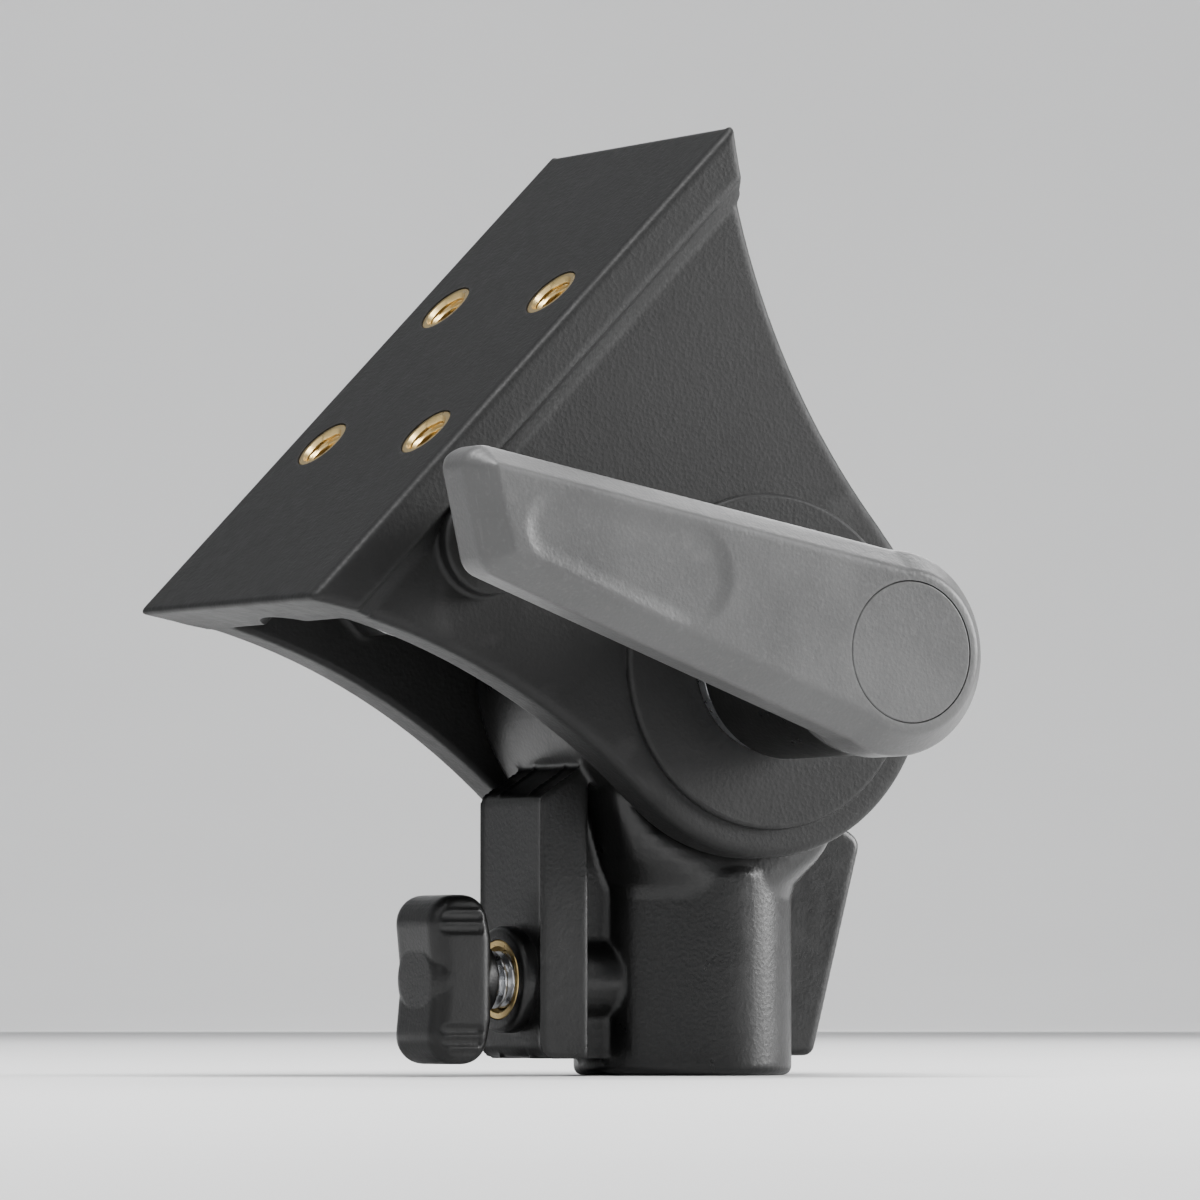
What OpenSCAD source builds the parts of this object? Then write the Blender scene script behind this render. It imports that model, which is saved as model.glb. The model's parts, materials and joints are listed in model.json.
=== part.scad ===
// Umbrella swivel bracket: the tilting mount between a studio flash and a light stand.
// The origin is the centre of the stand socket's mouth, and +Z runs up the stand stud.
// The tilt pivot lies along Y with the lever on its -Y side, and +X is the way the flash faces.

/* [Pose at rest] */
// Angle of the flash above the horizontal
head_elevation = 45; // [0:1:80]
// Direction of the lever's arm, counted from +X towards +Z
lever_direction = 165; // [140:1:190]

/* [Stand socket] */
// Radius of the blind bore that takes a 16 mm (5/8 in) stand stud
socket_bore_r = 8.1; // [8.05:0.05:8.2]
// Depth of that bore
socket_bore_depth = 34; // [30:0.5:34]
// Outer radius of the socket's tube
socket_tube_r = 11.5; // [11.2:0.1:11.6]
// Height of the tube, which stops under the sweep of the cheeks
socket_tube_h = 21.8; // [20:0.2:22]
// Height of the tilt pivot above the socket's mouth
pivot_z = 43; // [43:0.5:46]
// Radius of the eye that the cheeks clamp
eye_r = 19.5; // [18.5:0.25:19.75]
// Distance of the rear flange's back face behind the stud axis
rear_flange_x = 21.1; // [20.5:0.1:21.6]
// Width of the rear flange
rear_flange_w = 12.4; // [11:0.2:13]
// Thickness of the thin gusset in front of the tube
gusset_t = 3.5; // [3:0.25:5]

/* [Stand lock] */
// Height of the lock screw above the mouth
lock_z = 10; // [9:0.5:11]
// Radius of the M6 lock screw
lock_screw_r = 3; // [2.9:0.05:3]
// Height of the wing knob across its wings
wing_span = 17.5; // [15:0.5:17.5]
// Thickness of the wings
wing_t = 5.2; // [4:0.2:6]

/* [Fork] */
// Half of the fork's width over both cheeks
cheek_outer = 16.6; // [16.4:0.1:17]
// Thickness of each cheek
cheek_t = 5.2; // [5:0.1:5.2]
// Radius of the cheeks' round end about the pivot
cheek_r = 20.4; // [20:0.1:20.6]
// Distance from the pivot to the face that bolts to the flash
pad_height = 43; // [42.5:0.25:44]
// Half of that face's length along the flash
pad_half = 36; // [33:0.5:38]
// Distance from the pivot to the underside of the block between the cheeks
crotch_height = 24.2; // [24:0.1:24.4]

/* [Pad inserts] */
// Pitch circle of the four M5 inserts
pad_pcd = 30; // [30:0.25:31]
// Radius of the inserts' threaded hole
pad_hole_r = 2.1; // [2.05:0.05:2.2]

/* [Umbrella tunnel] */
// Distance from the pivot to the umbrella shaft's axis
umbrella_height = 32.5; // [32:0.1:32.6]
// Radius of the sleeve's bore for an 8 mm umbrella shaft
umbrella_bore_r = 4.3; // [4.2:0.05:4.5]
// Place of the umbrella lock screw along the flash's axis
umbrella_lock_x = -16.5; // [-17:0.1:-16.4]
// Radius of the M5 umbrella lock screw
umbrella_screw_r = 2.5; // [2.4:0.05:2.5]

/* [Pivot] */
// Radius of the M8 pivot bolt
bolt_r = 4; // [3.95:0.01:4]
// Width across the flats of the bolt's hex head
hex_flats = 13; // [12.9:0.05:13]

/* [Lever] */
// Radius of the lever's hub
lever_hub_r = 10.5; // [10.2:0.1:11]
// Length of the arm from the pivot to its tip
lever_length = 54.5; // [48:0.5:58]
// Half of the arm's width at its free end
lever_tip_half = 6; // [5:0.25:7]
// Distance of the lever's outer face from the fork's middle
lever_face = 43; // [43:0.25:44]
// Thickness of the arm
lever_t = 7.5; // [6.5:0.25:7.5]
// Number of teeth between the lever and its threaded hub
spline_teeth = 16; // [12:1:20]

/* [Hidden] */
$fn = 96;
black_plastic = [0.05, 0.05, 0.055];
grey_plastic = [0.36, 0.36, 0.37];
steel = [0.6, 0.61, 0.62];
brass = [0.72, 0.56, 0.28];
nylon = [0.75, 0.74, 0.68];
eps = 0.05;
// Radial play of every turning or sliding pair, and the end play of what turns face to face
play = 0.06;
end_play = 0.1;

// The fork's inner faces, the eye and the discs between them, as distances from the middle
cheek_inner = cheek_outer - cheek_t;
disc_t = 0.9;
eye_half = cheek_inner - end_play - disc_t;
bush_r = 6;
bush_len = 7;
// The cheeks' concave flare is an arc that leaves the round end and reaches the pad
flare_start = -4;
flare_rise = pad_height - flare_start;
flare_out = pad_half - cheek_r;
flare_r = (flare_rise * flare_rise + flare_out * flare_out) / (2 * flare_out);
block_back = -21;
pad_t = 5;
// The pad stands proud of the cheeks by its lips, which slope back to them
pad_lip = 1.6;
pad_outer = cheek_outer + pad_lip;
lip_root = 0.8;
step_r = 17.5;
step_t = 0.8;
far_boss_r = 11.5;
far_boss_t = 4.4;
insert_r = 3.2;
insert_len = 6.5;
sleeve_r = 6;
sleeve_front = 31;
sleeve_rim_r = 7;
sleeve_rim_t = 1.5;
rim_gap = 0.1;
umbrella_boss_r = 5.4;
umbrella_boss_t = 1.8;
umbrella_insert_r = 3.6;
umbrella_insert_in = 9;
umbrella_shoe_in = umbrella_bore_r + 0.08;
umbrella_shoe_len = 2.2;
// The thumb screw's collar and knurled head
thumb_collar_r = 3.6;
thumb_collar_t = 1.2;
thumb_in = cheek_outer + umbrella_boss_t + 2;
thumb_out = thumb_in + 6.4;
thumb_r = 5.2;
knurls = 20;
knurl_side = 0.6;
// The pivot bolt's head, as distances from the middle on the far side
bolt_head_in = cheek_outer - 1.5;
bolt_head_t = 5.3;
hex_r = hex_flats / 2 / cos(30);
cap_back = bolt_head_in + bolt_head_t + eps;
bolt_cap_r = 9;
bolt_cap_dome = 0.6;
// The stand socket's neck, web, flange and gusset, as points in the X-Z plane
rib_foot = 2;
neck_half = 16;
neck_foot = socket_tube_h - 2;
neck_top = pivot_z - 8;
rib_in = 4;
rear_web_t = 6;
rear_web_slope_x = 13;
rear_web_top = pivot_z - 9;
flange_depth = 5.5;
flange_bevel = 1.2;
flange_top = 29;
flange_slope = 3.4;
gusset_foot_x = 15.6;
gusset_tip_x = 21.8;
gusset_tip_z = 25;
gusset_top_x = 12;
gusset_top = pivot_z - 12;
lock_boss_r = 5.5;
// The stand lock, as distances behind the stud axis
lock_shoe_in = socket_bore_r + 0.25;
lock_shoe_len = 3;
lock_insert_r = 4.2;
lock_insert_in = 13;
lock_boss_end = 22.8;
knob_start = 24.8;
knob_end = 33.4;
knob_hub_r = 4.6;
knob_hub_in = 0.6;
knob_cover = 2.4;
wing_r = 3.2;
wing_root_half = 4;
// The lever's stack, as distances from the fork's middle
washer_in = cheek_outer + step_t;
washer_t = 1.6;
hub_in = washer_in + washer_t + eps;
hub_flange_t = 2;
hub_flange_r = 8.6;
hub_top = lever_face - 11.5;
spline_band = 2.8;
spline_root_r = 6.6;
spline_tip_r = 7.6;
spline_play = 0.12;
lever_skirt = hub_in + 0.45;
web_in = hub_top + 0.2;
web_t = 1.7;
screw_r = 2.5;
screw_head_in = lever_face - 4.1;
screw_head_t = 1.7;
screw_head_r = 5.6;
cap_in = lever_face - 1.55;
cap_r = 7.2;
// The lever's edges, its back face and the gaps around its hub
lever_edge = 2.6;
lever_back_edge = 1.2;
lever_back = lever_face - lever_t;
hub_gap = 0.4;
spring_gap = 0.8;
spring_turns = 3;

// Draws in the X-Z plane turned about the pivot, and extrudes towards the lever's side
module pivot_frame(turn)
  translate([0, 0, pivot_z]) rotate([90, 0, 0]) rotate([0, 0, turn]) children();
module head_frame() pivot_frame(head_elevation) children();
module lever_frame() pivot_frame(lever_direction) children();

// A slab drawn in the X-Z plane, centred on the middle plane
module middle_slab(width)
  rotate([90, 0, 0]) linear_extrude(height = width, center = true) children();

// A cylinder along the pivot between two distances from the middle
module along_pivot(from, to, r) translate([0, 0, from]) cylinder(h = to - from, r = r);

// A cylinder along the stand lock, between two distances behind the stud axis
module along_lock(from, to, r)
  translate([-to, 0, lock_z]) rotate([0, 90, 0]) cylinder(h = to - from, r = r);

// A cylinder along the umbrella lock, between two distances from the middle
module along_umbrella_lock(from, to, r)
  translate([umbrella_lock_x, umbrella_height, from]) cylinder(h = to - from, r = r);

// A cylinder along the umbrella shaft's axis
module along_shaft(from, to, r)
  translate([from, umbrella_height, 0]) rotate([0, 90, 0]) cylinder(h = to - from, r = r);

// The points of a round wire wound into a coil, as rings of `sides` points
function coil_ring(angle, height, coil_r, wire_r, sides) =
  [for (k = [0 : sides - 1])
    let (around = 360 * k / sides, reach = coil_r + wire_r * cos(around))
    [reach * cos(angle), reach * sin(angle), height + wire_r * sin(around)]];

// A coil spring of round wire that stands on z = 0
module coil(coil_r, wire_r, length, turns, sides = 8, steps = 24) {
  rings = turns * steps;
  points = [for (i = [0 : rings])
    each coil_ring(360 * i / steps, wire_r + (length - 2 * wire_r) * i / rings, coil_r, wire_r, sides)];
  skin = [for (i = [0 : rings - 1]) for (k = [0 : sides - 1])
    let (next = (k + 1) % sides)
    each [[i * sides + k, (i + 1) * sides + k, (i + 1) * sides + next],
          [i * sides + k, (i + 1) * sides + next, i * sides + next]]];
  first_cap = [[for (k = [0 : sides - 1]) k]];
  last_cap = [[for (k = [sides - 1 : -1 : 0]) rings * sides + k]];
  polyhedron(points = points, faces = concat(skin, first_cap, last_cap));
}

// The outline of a splined shaft, whose teeth start a little inside the root circle
module spline_2d(root_r, tip_r) {
  tooth_angle = 360 / spline_teeth;
  foot_r = root_r - 0.4;
  circle(r = root_r);
  for (i = [0 : spline_teeth - 1])
    rotate(i * tooth_angle)
      polygon([[0, 0], polar(foot_r, -0.36 * tooth_angle), polar(tip_r, -0.16 * tooth_angle),
               polar(tip_r, 0.16 * tooth_angle), polar(foot_r, 0.36 * tooth_angle)]);
}
function polar(r, angle) = [r * cos(angle), r * sin(angle)];

// The stand socket: tube, eye, neck, rear flange with the lock's boss, and front gusset
module eye_and_neck_2d() {
  translate([0, pivot_z]) circle(r = eye_r);
  polygon([[-socket_tube_r, neck_foot], [socket_tube_r, neck_foot],
           [neck_half, neck_top], [-neck_half, neck_top]]);
}
module rear_web_2d()
  polygon([[-rib_in, rib_foot], [-rear_flange_x, rib_foot], [-rear_flange_x, flange_top],
           [-rear_web_slope_x, rear_web_top], [-rib_in, rear_web_top]]);
module rear_flange_2d() {
  front = flange_depth - rear_flange_x;
  polygon([[front, rib_foot], [flange_bevel - rear_flange_x, rib_foot],
           [-rear_flange_x, rib_foot + flange_bevel], [-rear_flange_x, flange_top],
           [front, flange_top + flange_slope]]);
}
module front_gusset_2d()
  polygon([[rib_in, rib_foot], [gusset_foot_x, rib_foot], [gusset_tip_x, gusset_tip_z],
           [gusset_top_x, gusset_top], [rib_in, gusset_top]]);

module stand_socket() color(black_plastic) difference() {
  union() {
    cylinder(h = socket_tube_h, r = socket_tube_r);
    middle_slab(2 * eye_half) eye_and_neck_2d();
    middle_slab(rear_web_t) rear_web_2d();
    middle_slab(rear_flange_w) rear_flange_2d();
    middle_slab(gusset_t) front_gusset_2d();
    along_lock(rib_in, lock_boss_end, lock_boss_r);
  }
  translate([0, 0, -eps]) cylinder(h = socket_bore_depth + eps, r = socket_bore_r);
  pivot_frame(0) along_pivot(-eye_half - eps, eye_half + eps, bush_r);
  along_lock(lock_insert_in, lock_boss_end + eps, lock_insert_r);
  along_lock(rib_in, lock_insert_in + eps, lock_screw_r + play);
}

// The eye's bearings: a bush at each end, with the spring that opens the fork between them
module bush(from)
  difference() {
    along_pivot(from, from + bush_len, bush_r);
    along_pivot(from - eps, from + bush_len + eps, bolt_r + play);
  }
module pivot_bush_near() color(nylon) pivot_frame(0) bush(eye_half - bush_len);
module pivot_bush_far() color(nylon) pivot_frame(0) bush(-eye_half);
module release_spring()
  color(steel) pivot_frame(0)
    translate([0, 0, bush_len - eye_half + eps])
      coil(5, 0.5, 2 * (eye_half - bush_len - eps), spring_turns);

module friction_disc(from)
  difference() {
    along_pivot(from, from + disc_t, eye_r - 1);
    along_pivot(from - eps, from + disc_t + eps, bush_r + 1);
  }
module friction_disc_near() color([0.2, 0.17, 0.15]) pivot_frame(0) friction_disc(eye_half);
module friction_disc_far() color([0.2, 0.17, 0.15]) pivot_frame(0) friction_disc(-eye_half - disc_t);

// The stand lock: insert, pressure shoe, screw and wing knob
module lock_insert() color(brass) difference() {
  along_lock(lock_insert_in, lock_boss_end, lock_insert_r);
  along_lock(lock_insert_in - eps, lock_boss_end + eps, lock_screw_r + 0.05);
}
module lock_shoe() color(nylon) along_lock(lock_shoe_in, lock_shoe_in + lock_shoe_len, lock_screw_r);
module lock_screw()
  color(steel) along_lock(lock_shoe_in + lock_shoe_len + eps, knob_end - knob_cover, lock_screw_r);
module wing_2d() {
  reach = wing_span / 2 - wing_r;
  inner = knob_end - 2 * wing_r;
  for (side = [-1, 1]) translate([-knob_end + wing_r, side * reach]) circle(r = wing_r);
  translate([-knob_end, -reach]) square([2 * wing_r, 2 * reach]);
  polygon([[-inner, -reach], [-knob_start, -wing_root_half],
           [-knob_start, wing_root_half], [-inner, reach]]);
}
module lock_knob() color(black_plastic) difference() {
  union() {
    translate([0, 0, lock_z]) middle_slab(wing_t) wing_2d();
    along_lock(knob_start, knob_end - knob_hub_in, knob_hub_r);
  }
  along_lock(knob_start - eps, knob_end - knob_cover, lock_screw_r);
}

// The fork: two flared cheeks, the block with the umbrella tunnel, and the pad
module fork_2d() {
  circle(r = cheek_r);
  difference() {
    translate([-pad_half, 0]) square([2 * pad_half, pad_height]);
    for (side = [-1, 1]) translate([side * (cheek_r + flare_r), flare_start]) circle(r = flare_r);
  }
}
module fork_slice(from_x, from_y, half)
  linear_extrude(height = 2 * half, center = true) intersection() {
    fork_2d();
    translate([from_x, from_y]) square([2 * pad_half, pad_height - from_y]);
  }
module pad_lips() intersection() {
  linear_extrude(height = 2 * pad_outer + 2, center = true) fork_2d();
  for (side = [-1, 1]) rotate([90, 0, 90]) linear_extrude(height = 2 * pad_half + 2, center = true)
    polygon([[pad_height - pad_t - pad_lip - lip_root, side * (cheek_outer - lip_root)],
             [pad_height - pad_t, side * pad_outer], [pad_height + 1, side * pad_outer],
             [pad_height + 1, side * (cheek_outer - lip_root)]]);
}
module head_fork() color(black_plastic) head_frame() difference() {
  union() {
    for (from = [-cheek_outer, cheek_inner])
      translate([0, 0, from]) linear_extrude(height = cheek_t) fork_2d();
    fork_slice(block_back, crotch_height, cheek_inner + eps);
    fork_slice(-pad_half, pad_height - pad_t, cheek_outer);
    pad_lips();
    along_pivot(cheek_outer - eps, cheek_outer + step_t, step_r);
    along_pivot(-cheek_outer - far_boss_t, eps - cheek_outer, far_boss_r);
    along_umbrella_lock(cheek_outer - eps, cheek_outer + umbrella_boss_t, umbrella_boss_r);
  }
  along_pivot(-pad_half, pad_half, bolt_r + play);
  translate([0, 0, -pad_half]) cylinder(h = pad_half - bolt_head_in, r = hex_r + 0.05, $fn = 6);
  along_pivot(-pad_half, -cap_back, bolt_cap_r);
  along_shaft(-pad_half, pad_half, sleeve_r);
  along_shaft(-pad_half, block_back, sleeve_rim_r + rim_gap);
  along_umbrella_lock(umbrella_insert_in, pad_half, umbrella_insert_r);
  along_umbrella_lock(sleeve_r / 2, umbrella_insert_in + eps, umbrella_screw_r + play);
  pad_holes(insert_r);
}

// Four cylinders sunk into the pad on its pitch circle
module pad_holes(r, over = eps)
  for (turn = [45 : 90 : 315])
    translate([pad_pcd / 2 * cos(turn), pad_height - insert_len, pad_pcd / 2 * sin(turn)])
      rotate([-90, 0, 0]) translate([0, 0, -over / 2]) cylinder(h = insert_len + over, r = r);
module pad_inserts() color(brass) head_frame() difference() {
  pad_holes(insert_r, 0);
  pad_holes(pad_hole_r, 1);
}

// The umbrella tunnel's sleeve, its lock's insert, shoe and thumb screw
module umbrella_sleeve() color(steel) head_frame() difference() {
  union() {
    along_shaft(block_back - sleeve_rim_t, sleeve_front, sleeve_r);
    along_shaft(block_back - sleeve_rim_t, block_back, sleeve_rim_r);
  }
  along_shaft(-pad_half, pad_half, umbrella_bore_r);
  along_umbrella_lock(0, umbrella_insert_in, umbrella_screw_r + play);
}
module umbrella_insert() color(brass) head_frame() difference() {
  along_umbrella_lock(umbrella_insert_in, cheek_outer + umbrella_boss_t, umbrella_insert_r);
  along_umbrella_lock(0, pad_half, umbrella_screw_r + 0.05);
}
module umbrella_shoe()
  color(nylon) head_frame()
    along_umbrella_lock(umbrella_shoe_in, umbrella_shoe_in + umbrella_shoe_len, umbrella_screw_r);
module umbrella_screw() color(steel) head_frame() {
  along_umbrella_lock(umbrella_shoe_in + umbrella_shoe_len + eps, thumb_in + eps, umbrella_screw_r);
  along_umbrella_lock(thumb_in, thumb_in + thumb_collar_t, thumb_collar_r);
  difference() {
    along_umbrella_lock(thumb_in + thumb_collar_t - eps, thumb_out, thumb_r);
    translate([umbrella_lock_x, umbrella_height, thumb_in])
      for (i = [0 : knurls - 1])
        rotate(i * 360 / knurls) translate([thumb_r, 0, 0])
          rotate(45) cube([knurl_side, knurl_side, 20], center = true);
  }
}

// The pivot bolt, held by its hex head in the far cheek, and the cap over that head
module pivot_bolt() color(steel) head_frame() {
  translate([0, 0, -bolt_head_in - bolt_head_t]) cylinder(h = bolt_head_t, r = hex_r, $fn = 6);
  along_pivot(-bolt_head_in - eps, hub_top - 5.1, bolt_r);
}
module bolt_cap()
  color(black_plastic) head_frame()
    along_pivot(-cheek_outer - far_boss_t - bolt_cap_dome, -cap_back, bolt_cap_r);

// The lever's parts: washer, threaded hub, retaining screw, spring, lever and cap
module lever_washer() color(steel) head_frame() difference() {
  along_pivot(washer_in, washer_in + washer_t, 9.6);
  along_pivot(washer_in - eps, hub_in, bolt_r + play);
}
module lever_hub() color(steel) lever_frame() difference() {
  union() {
    along_pivot(hub_in, hub_in + hub_flange_t, hub_flange_r);
    along_pivot(hub_in, hub_top, spline_root_r);
    translate([0, 0, hub_top - spline_band])
      linear_extrude(height = spline_band) spline_2d(spline_root_r, spline_tip_r);
  }
  along_pivot(hub_in - eps, hub_top - 4.9, bolt_r + 0.05);
  along_pivot(hub_top - 4.3, hub_top + eps, screw_r);
}
module lever_screw() color(steel) lever_frame() difference() {
  union() {
    along_pivot(hub_top - 4.2, screw_head_in + eps, screw_r);
    along_pivot(screw_head_in, screw_head_in + screw_head_t, screw_head_r);
  }
  translate([0, 0, screw_head_in + 0.5]) cylinder(h = 2, r = 1.7, $fn = 6);
}
module lever_spring()
  color(steel) lever_frame()
    translate([0, 0, web_in + web_t + eps])
      coil(3.9, 0.35, screw_head_in - web_in - web_t - 2 * eps, spring_turns);

// One level of the lever's arm, drawn in by `inset`, whose free end is cut at a slant
module arm_2d(inset) {
  tip = lever_length - inset;
  half = lever_tip_half - inset;
  root = lever_hub_r - 0.4 - inset;
  polygon([[0, -root], [tip - 2, -half], [tip - 0.5, 0.6 - half], [tip, 2.2 - half], [tip - 4.2, half - 2],
           [tip - 5.6, half - 0.5], [tip - 7.5, half], [0, root]]);
}
module arm_level(from, to, inset)
  translate([0, 0, from]) linear_extrude(height = to - from) arm_2d(inset);
module tilt_lever() color(grey_plastic) lever_frame() difference() {
  union() {
    hull() {
      arm_level(lever_back, lever_back + 0.5, lever_back_edge);
      arm_level(lever_back + lever_back_edge + 0.3, lever_face - lever_edge, 0);
      arm_level(lever_face - 0.5, lever_face - 0.1, lever_edge);
    }
    along_pivot(lever_skirt, lever_face - lever_edge, lever_hub_r);
    translate([0, 0, lever_face - lever_edge])
      cylinder(h = lever_edge, r1 = lever_hub_r, r2 = lever_hub_r - lever_edge);
  }
  along_pivot(lever_skirt - eps, hub_in + hub_flange_t + hub_gap, hub_flange_r + hub_gap);
  along_pivot(lever_skirt, hub_top - 2.5, spline_tip_r + hub_gap);
  translate([0, 0, hub_top - 2.6]) linear_extrude(height = web_in - hub_top + 2.6)
    spline_2d(spline_root_r + spline_play, spline_tip_r + spline_play);
  along_pivot(hub_top, lever_face, screw_r + hub_gap);
  along_pivot(web_in + web_t, cap_in, screw_head_r + spring_gap);
  along_pivot(cap_in, lever_face + eps, cap_r);
}
module lever_cap() color(grey_plastic) lever_frame() along_pivot(cap_in, lever_face, cap_r);

stand_socket();
pivot_bush_near();
pivot_bush_far();
release_spring();
friction_disc_near();
friction_disc_far();
lock_insert();
lock_shoe();
lock_screw();
lock_knob();
head_fork();
pad_inserts();
umbrella_sleeve();
umbrella_insert();
umbrella_shoe();
umbrella_screw();
pivot_bolt();
bolt_cap();
lever_washer();
lever_hub();
lever_screw();
lever_spring();
tilt_lever();
lever_cap();
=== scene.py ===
import json
import math

import bmesh
import bpy
from mathutils import Matrix, Vector


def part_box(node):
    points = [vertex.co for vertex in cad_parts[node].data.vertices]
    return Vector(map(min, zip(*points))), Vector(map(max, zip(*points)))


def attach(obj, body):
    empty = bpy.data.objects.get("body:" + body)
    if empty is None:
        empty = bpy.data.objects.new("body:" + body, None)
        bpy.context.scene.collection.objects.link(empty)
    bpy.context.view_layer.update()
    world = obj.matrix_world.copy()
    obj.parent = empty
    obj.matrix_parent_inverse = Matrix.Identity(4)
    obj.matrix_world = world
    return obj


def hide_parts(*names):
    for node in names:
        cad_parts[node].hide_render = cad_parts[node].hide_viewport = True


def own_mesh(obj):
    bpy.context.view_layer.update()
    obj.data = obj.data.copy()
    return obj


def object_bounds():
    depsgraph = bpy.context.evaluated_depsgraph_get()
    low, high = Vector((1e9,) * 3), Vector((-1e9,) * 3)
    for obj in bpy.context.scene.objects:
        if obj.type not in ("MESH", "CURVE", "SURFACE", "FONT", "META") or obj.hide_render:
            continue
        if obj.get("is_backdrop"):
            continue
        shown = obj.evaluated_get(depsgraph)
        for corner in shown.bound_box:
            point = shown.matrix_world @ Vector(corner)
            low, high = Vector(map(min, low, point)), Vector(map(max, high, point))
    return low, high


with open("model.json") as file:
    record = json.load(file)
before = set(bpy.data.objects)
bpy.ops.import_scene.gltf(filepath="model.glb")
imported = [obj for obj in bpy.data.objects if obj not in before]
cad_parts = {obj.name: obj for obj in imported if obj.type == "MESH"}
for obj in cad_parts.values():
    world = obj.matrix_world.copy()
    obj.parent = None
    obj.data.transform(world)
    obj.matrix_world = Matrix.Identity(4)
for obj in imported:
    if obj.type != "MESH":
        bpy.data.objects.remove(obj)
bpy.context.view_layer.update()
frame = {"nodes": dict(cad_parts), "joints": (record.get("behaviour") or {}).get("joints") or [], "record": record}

# ---------------------------------------------------------------- frames
# Shapes are drawn in millimetres in a local frame and placed by that frame's matrix.

MM = 0.001
JOINTS = {joint["name"]: joint for joint in frame["joints"]}
MOUNTS = {mount["name"]: mount for mount in frame["record"]["mounts"]}
PIVOT = Vector(JOINTS["tilt"]["pos_m"])
LOCK_Z = JOINTS["stand_lock_spin"]["pos_m"][2]
THUMB_POS = Vector(JOINTS["umbrella_lock_spin"]["pos_m"])
SHAFT_AXIS = Vector(MOUNTS["umbrella_tunnel"]["axis"])
HEAD_TURN = math.degrees(math.atan2(SHAFT_AXIS.z, SHAFT_AXIS.x))
LEVER_TURN = 165  # degrees from +X to where the lever's tip points at rest


def side_frame(turn, centre):
    """x and y lie in the X-Z plane, turned about centre, and z points at the lever's side."""
    c, s = math.cos(math.radians(turn)), math.sin(math.radians(turn))
    rotation = Matrix(((c, -s, 0), (0, 0, -1), (s, c, 0))).to_4x4()
    return Matrix.Translation(centre) @ rotation @ Matrix.Scale(MM, 4)


def axes(x, y, z, centre=(0, 0, 0)):
    """A frame inside another one, from its three axes and its centre there."""
    rotation = Matrix((x, y, z)).transposed().to_4x4()
    return Matrix.Translation(centre) @ rotation


HEAD = side_frame(HEAD_TURN, PIVOT)
LEVER = side_frame(LEVER_TURN, PIVOT)
STAND_SIDE = side_frame(0, (0, 0, 0))
STAND = Matrix.Scale(MM, 4)
EYE = side_frame(0, PIVOT)
LOCK_AXES = axes((0, 1, 0), (0, 0, -1), (-1, 0, 0))
LOCK = Matrix.Translation((0, 0, LOCK_Z)) @ LOCK_AXES @ Matrix.Scale(MM, 4)


def span(node, matrix):
    """Lowest and highest corner of a CAD node in a local frame, in millimetres."""
    inverse = matrix.inverted()
    points = [inverse @ vertex.co for vertex in frame["nodes"][node].data.vertices]
    return (
        Vector([min(p[i] for p in points) for i in range(3)]),
        Vector([max(p[i] for p in points) for i in range(3)]),
    )


# ---------------------------------------------------------------- outlines
def polar(r, degrees, centre=(0, 0)):
    a = math.radians(degrees)
    return (centre[0] + r * math.cos(a), centre[1] + r * math.sin(a))


def arc(r, start, end, steps, centre=(0, 0)):
    return [polar(r, start + (end - start) * i / steps, centre) for i in range(steps + 1)]


def rounded(corners, steps=5):
    """A closed outline from (x, y, radius) corners, with an arc where the radius isn't 0."""
    points = []
    for i, (x, y, r) in enumerate(corners):
        here = Vector((x, y))
        back = Vector(corners[i - 1][:2]) - here
        ahead = Vector(corners[(i + 1) % len(corners)][:2]) - here
        if r <= 0:
            points.append((x, y))
            continue
        half = back.angle(ahead) / 2
        reach = min(r / math.tan(half), 0.49 * back.length, 0.49 * ahead.length)
        radius = reach * math.tan(half)
        inward = (back.normalized() + ahead.normalized()).normalized()
        middle = here + inward * (radius / math.sin(half))
        first = here + back.normalized() * reach - middle
        turn = first.angle_signed(here + ahead.normalized() * reach - middle)
        for k in range(steps + 1):
            a = -turn * k / steps
            c, s = math.cos(a), math.sin(a)
            rotated = Vector((first.x * c - first.y * s, first.x * s + first.y * c))
            points.append(tuple(middle + rotated))
    return points


def squircle(half_x, half_y, power):
    """An outline that is an ellipse at power 2, and closer to a rectangle the higher the power."""
    points, steps = [], 96
    for k in range(steps):
        x, y = polar(1, 360 * k / steps)
        r = (abs(x / half_x) ** power + abs(y / half_y) ** power) ** (-1 / power)
        points.append((x * r, y * r))
    return points


def inset(outline, amount):
    """The outline drawn in by amount, with mitred corners. It runs counter-clockwise."""
    if amount == 0:
        return list(outline)
    made = []
    for i, point in enumerate(outline):
        here, back = Vector(point), Vector(outline[i - 1])
        ahead = Vector(outline[(i + 1) % len(outline)])
        a, b = (here - back).normalized(), (ahead - here).normalized()
        n1, n2 = Vector((a.y, -a.x)), Vector((b.y, -b.x))
        made.append(tuple(here - (n1 + n2) * (amount / max(1 + n1.dot(n2), 0.3))))
    return made


def edge_levels(low, high, low_r, high_r, steps=5):
    """Levels from low to high with rounded edges, as (height, inset)."""
    levels = []
    for i in range(steps + 1):
        a = math.radians(90 * i / steps)
        levels.append((low + low_r * (1 - math.cos(a)), low_r * (1 - math.sin(a))))
    for i in range(steps + 1):
        a = math.radians(90 * i / steps)
        levels.append((high - high_r * (1 - math.sin(a)), high_r * (1 - math.cos(a))))
    return levels


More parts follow.
